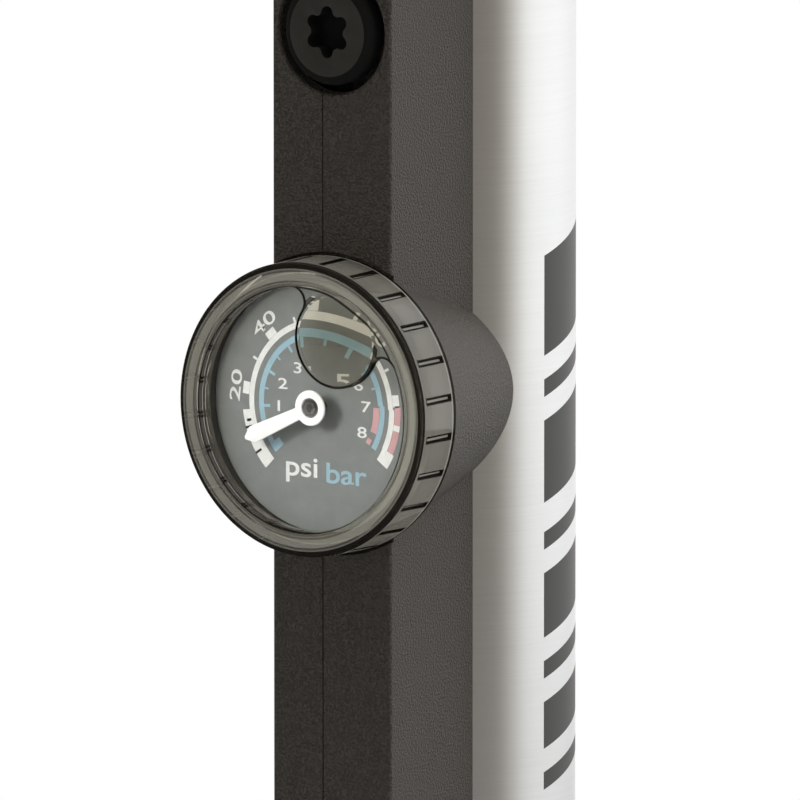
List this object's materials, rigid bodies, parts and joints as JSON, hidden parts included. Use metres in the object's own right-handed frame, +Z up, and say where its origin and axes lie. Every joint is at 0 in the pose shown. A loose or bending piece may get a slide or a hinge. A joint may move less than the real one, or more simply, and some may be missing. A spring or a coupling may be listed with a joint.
{
  "type": "floor pump",
  "caption": "Upright floor pump with a slotted barrel tube, a moulded front spine, a turning gauge cover with a magnifier, a three-lobed base and a cross handle.",
  "frame": {"origin": "on the floor, under the axis of the barrel", "axes": "+Z up along the barrel, -Y the way the gauge faces, +X to the right of someone who looks at the gauge"},
  "size_m": [0.236, 0.152, 0.6253],
  "materials": {
    "black_moulding": "fine matt texture",
    "textured_moulding": "fine grained texture",
    "black_rubber": "matt",
    "grip_rubber": "soft matt, ribbed",
    "steel": "zinc plated",
    "black_steel": "black finished",
    "chromed_rod": "polished",
    "brushed_barrel": "brushed round the tube",
    "brass": "machined",
    "bronze": "drawn",
    "clear_nylon": "satin",
    "pale_plastic": "satin",
    "piston_plastic": "satin",
    "grey_plate": "satin",
    "dial_face": "satin silver grey",
    "white_enamel": "enamel",
    "smoke_cover": "clear, smoke tinted, glossy"
  },
  "bodies": {
    "pump_body": {"base": "black_moulding", "foot_tread_left": "black_rubber", "foot_tread_right": "black_rubber", "base_feet": "black_rubber", "foot_screws": "steel", "hose_socket": "brass", "valve_seat": "brass", "valve_spring": "steel", "valve_cap": "brass", "tube_fitting": "brass", "air_tube": "clear_nylon", "barrel_seal": "black_rubber", "barrel": "brushed_barrel", "rail_nuts": "steel", "spine": "textured_moulding", "spine_bolts": "black_steel", "gauge_case": "grey_plate", "gauge_socket": "brass", "bourdon_tube": "bronze", "tip_link": "steel", "movement_front_plate": "brass", "movement_rear_plate": "brass", "movement_screws": "steel", "hairspring": "steel", "dial": "dial_face", "bezel_gasket": "black_rubber", "top_cap": "black_moulding", "cap_screws": "steel", "guide_bush": "pale_plastic", "rod_wiper": "black_rubber", "cap_bumper": "black_rubber"},
    "poppet": {"valve_poppet": "black_rubber"},
    "bezel": {"bezel": "smoke_cover"},
    "sector": {"sector_gear": "brass"},
    "pointer": {"pointer_shaft": "steel", "pointer": "white_enamel"},
    "seal": {"piston_ring": "black_rubber"},
    "plunger": {"piston": "piston_plastic", "piston_washer": "steel", "piston_nut": "steel", "rod_tip_lower": "steel", "piston_rod": "chromed_rod", "rod_tip_upper": "steel", "handle_core": "black_moulding", "grip_left": "grip_rubber", "grip_right": "grip_rubber", "grip_cap_left": "black_moulding", "grip_cap_right": "black_moulding", "handle_washer": "steel", "handle_bolt": "steel", "handle_plug": "black_rubber"}
  },
  "joints": [
    {"name": "plunger_slide", "type": "slide", "parent": "pump_body", "child": "seal", "axis": [0, 0, 1], "range_m": [0, 0.485]},
    {"name": "plunger_spin", "type": "hinge", "parent": "seal", "child": "plunger", "pos_m": [0, 0, 0.3], "axis": [0, 0, 1], "continuous": true},
    {"name": "bezel_turn", "type": "hinge", "parent": "pump_body", "child": "bezel", "pos_m": [0, -0.0435, 0.37], "axis": [0, -1, 0], "continuous": true},
    {"name": "sector_swing", "type": "hinge", "parent": "pump_body", "child": "sector", "pos_m": [0.00819, -0.033, 0.365], "axis": [0, -1, 0], "range_deg": [0, 26.5], "stiffness_Nm_per_rad": 0.001, "springref_deg": -22.92},
    {"name": "pointer_turn", "type": "hinge", "parent": "pump_body", "child": "pointer", "pos_m": [0, -0.035, 0.37], "axis": [0, 1, 0], "range_deg": [0, 238.5]},
    {"name": "check_valve_lift", "type": "slide", "parent": "pump_body", "child": "poppet", "axis": [0, 0, -1], "range_m": [0, 0.0015], "stiffness_N_per_m": 200, "springref_m": -0.002, "deforming": ["valve_spring"]}
  ],
  "couplings": [
    {"joint": "pointer_turn", "follows": "sector_swing", "ratio": 9}
  ]
}
